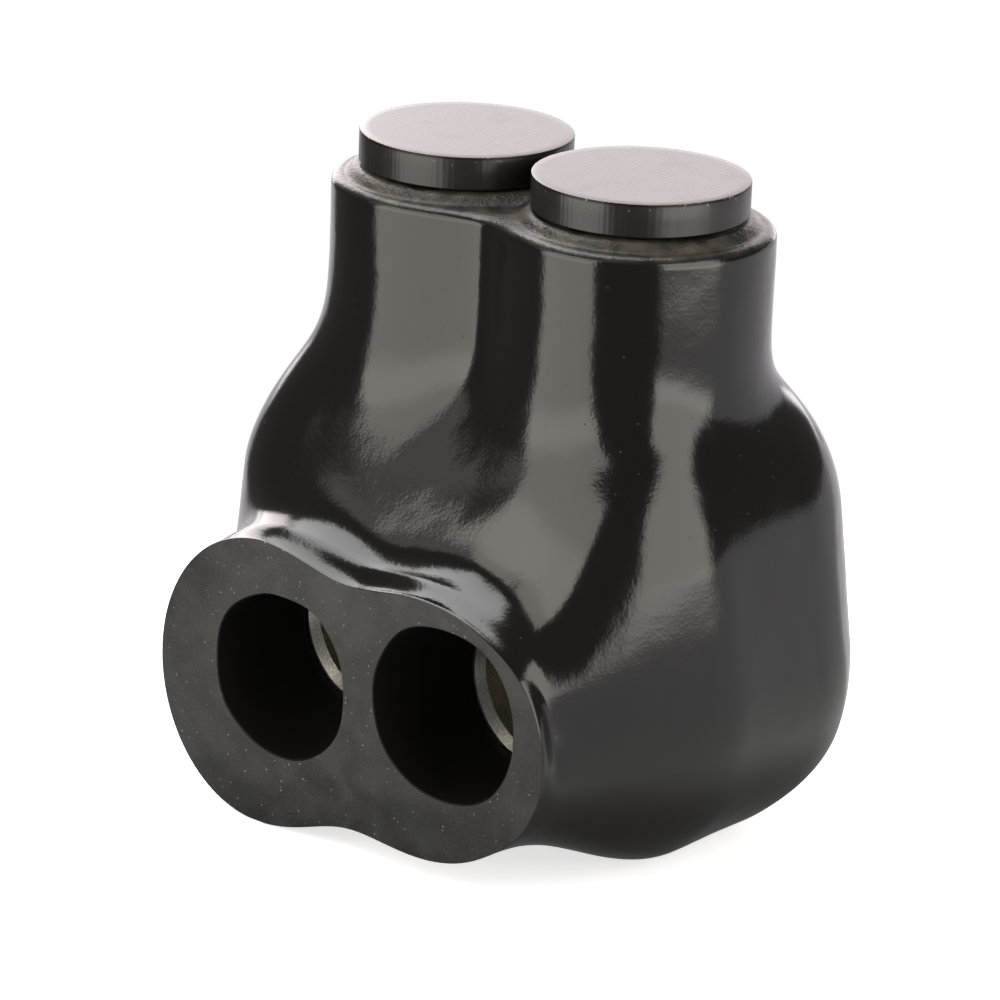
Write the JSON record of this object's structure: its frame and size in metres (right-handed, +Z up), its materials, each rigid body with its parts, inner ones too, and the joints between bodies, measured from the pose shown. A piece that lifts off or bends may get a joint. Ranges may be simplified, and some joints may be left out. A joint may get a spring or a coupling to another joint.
{
  "type": "insulated multi-tap connector",
  "caption": "Insulated cable connector: soft black vinyl jacket dipped over a metal block, with side-by-side cable ports in front and a capped clamp-screw neck above each port.",
  "frame": {"origin": "in the plane of the flat underside, midway between the ports, straight below the line through the two clamp screws' axes", "axes": "+X runs along the row of ports, -Y is the way the port face looks, +Z is up, towards the caps"},
  "size_m": [0.0726, 0.0537, 0.0754],
  "materials": {
    "dipped_vinyl": "glossy dipped plastisol with a faint orange peel",
    "aluminium": "plain machined extrusion",
    "cap_vinyl": "satin, with fine saw lines"
  },
  "bodies": {
    "housing": {"insulation_jacket": "dipped_vinyl", "connector_block": "aluminium"},
    "left_screw": {"set_screw_left": "aluminium"},
    "right_screw": {"set_screw_right": "aluminium"},
    "left_cap": {"cap_left": "cap_vinyl"},
    "right_cap": {"cap_right": "cap_vinyl"}
  },
  "joints": [
    {"name": "left_screw_travel", "type": "slide", "parent": "housing", "child": "left_screw", "axis": [0, 0, -1], "range_m": [0, 0.012]},
    {"name": "right_screw_travel", "type": "slide", "parent": "housing", "child": "right_screw", "axis": [0, 0, -1], "range_m": [0, 0.012]},
    {"name": "left_cap_lift", "type": "slide", "parent": "housing", "child": "left_cap", "axis": [0, 0, 1], "range_m": [0, 0.025]},
    {"name": "right_cap_lift", "type": "slide", "parent": "housing", "child": "right_cap", "axis": [0, 0, 1], "range_m": [0, 0.025]}
  ]
}
